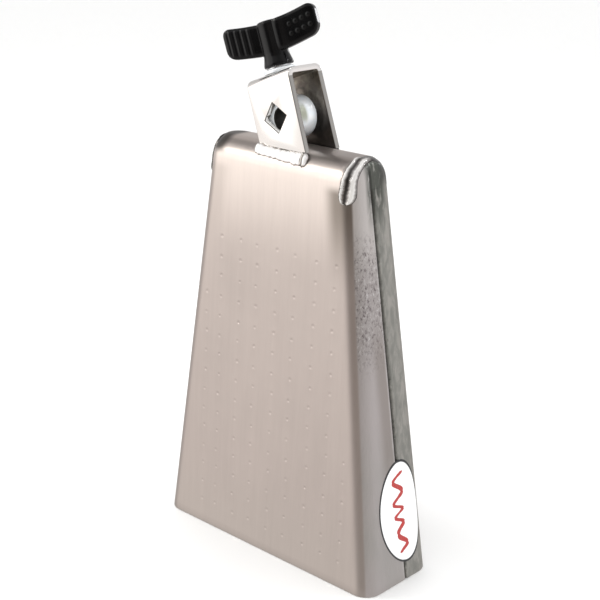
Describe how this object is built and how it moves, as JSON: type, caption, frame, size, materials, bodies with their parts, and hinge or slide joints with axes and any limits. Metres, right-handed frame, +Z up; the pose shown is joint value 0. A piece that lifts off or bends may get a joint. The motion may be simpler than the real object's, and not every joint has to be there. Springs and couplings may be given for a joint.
{
  "type": "mountable cowbell",
  "caption": "Folded sheet-steel cowbell with welded side seams and a leaning rod bracket that an eye bolt and wing nut clamp onto a mounting rod.",
  "frame": {"origin": "centre of the mouth plane, where the bell stands on its rim", "axes": "+Z up from the mouth to the rod bracket, -Y out of the broad striking face, +X out of the narrow side that carries the label"},
  "size_m": [0.1408, 0.0476, 0.2669],
  "materials": {
    "brushed_steel": "bare sheet steel, fine vertical brushing under clear lacquer",
    "seam_metal": "dull ground weld metal with rough bright specks",
    "weld_bead": "smooth rippled weld bead, semi-bright",
    "bracket_weld": "lumpy weld bead under bright plating",
    "bracket_chrome": "bright plated strap",
    "bolt_zinc": "bright zinc plating",
    "black_plastic": "glossy moulded nylon",
    "insert_brass": "machined brass",
    "label_vinyl": "white printed vinyl with a thin dark border"
  },
  "bodies": {
    "bell": {"bell_shell": "brushed_steel", "seam_weld_right": "seam_metal", "seam_weld_left": "seam_metal", "crown_weld_right": "weld_bead", "crown_weld_left": "weld_bead", "mount_bracket": "bracket_chrome", "bracket_weld_front": "bracket_weld", "bracket_weld_back": "bracket_weld", "side_label": "label_vinyl"},
    "wing_nut": {"wing_nut_grip": "black_plastic", "wing_nut_insert": "insert_brass"},
    "eye_bolt": {"eye_bolt": "bolt_zinc"},
    "washer": {"flat_washer": "bolt_zinc"}
  },
  "joints": [
    {"name": "wing_nut_spin", "type": "hinge", "parent": "bell", "child": "wing_nut", "pos_m": [-0.0035, 0, 0.2161], "axis": [-0.3518, 0, 0.9361], "range_deg": [-2048, 366]},
    {"name": "eye_bolt_slide", "type": "slide", "parent": "bell", "child": "eye_bolt", "axis": [-0.3518, 0, 0.9361], "range_m": [-0.00127, 0.0072]},
    {"name": "washer_spin", "type": "hinge", "parent": "bell", "child": "washer", "pos_m": [-0.0035, 0, 0.2161], "axis": [-0.3518, 0, 0.9361], "continuous": true}
  ],
  "couplings": [
    {"joint": "wing_nut_spin", "follows": "eye_bolt_slide", "rad_per_m": -4947.4}
  ]
}
